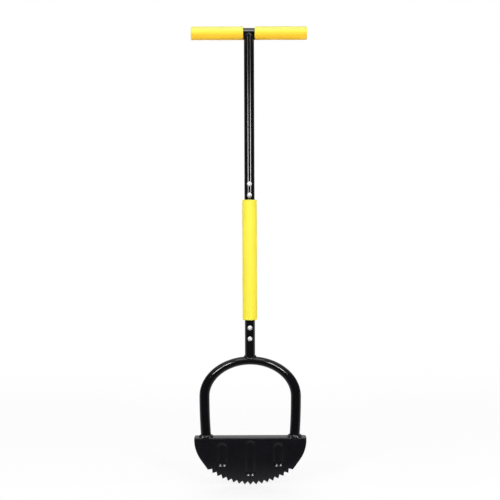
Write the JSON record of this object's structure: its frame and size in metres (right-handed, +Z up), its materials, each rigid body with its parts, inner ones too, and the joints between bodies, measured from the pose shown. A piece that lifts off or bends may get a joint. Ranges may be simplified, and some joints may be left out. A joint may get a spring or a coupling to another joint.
{
  "type": "half moon edger",
  "caption": "T handled lawn edger: bolted steel tube handle with foam grips, a bent fork for the foot and a folded, ribbed half round blade with a toothed edge and a foot step.",
  "frame": {"origin": "lowest tooth tip at the middle of the blade, straight below the handle's axis, at the middle of the step's depth", "axes": "+Z up along the handle, +X towards the right arm seen from the front, +Y to the back, away from the blade's front face"},
  "size_m": [0.2516, 0.035, 0.9978],
  "materials": {
    "black_coat": "gloss black powder coat on steel",
    "yellow_foam": "matte closed cell foam with a smooth moulded skin",
    "zinc": "bright zinc plate on steel",
    "nylon": "natural nylon",
    "black_plastic": "moulded polyethylene"
  },
  "bodies": {
    "root": {"t_bar": "black_coat", "left_end_plug": "black_plastic", "right_end_plug": "black_plastic", "left_grip": "yellow_foam", "right_grip": "yellow_foam", "upper_tube": "black_coat", "handle_weld": "black_coat", "middle_tube": "black_coat", "middle_grip": "yellow_foam", "upper_joint_bolts": "zinc", "upper_joint_nuts": "zinc", "upper_nut_rings": "nylon", "lower_joint_bolts": "zinc", "lower_joint_nuts": "zinc", "lower_nut_rings": "nylon", "fork_stem": "black_coat", "fork_tube": "black_coat", "crown_weld": "black_coat", "left_leg_weld": "black_coat", "right_leg_weld": "black_coat", "blade": "black_coat"}
  },
  "joints": []
}
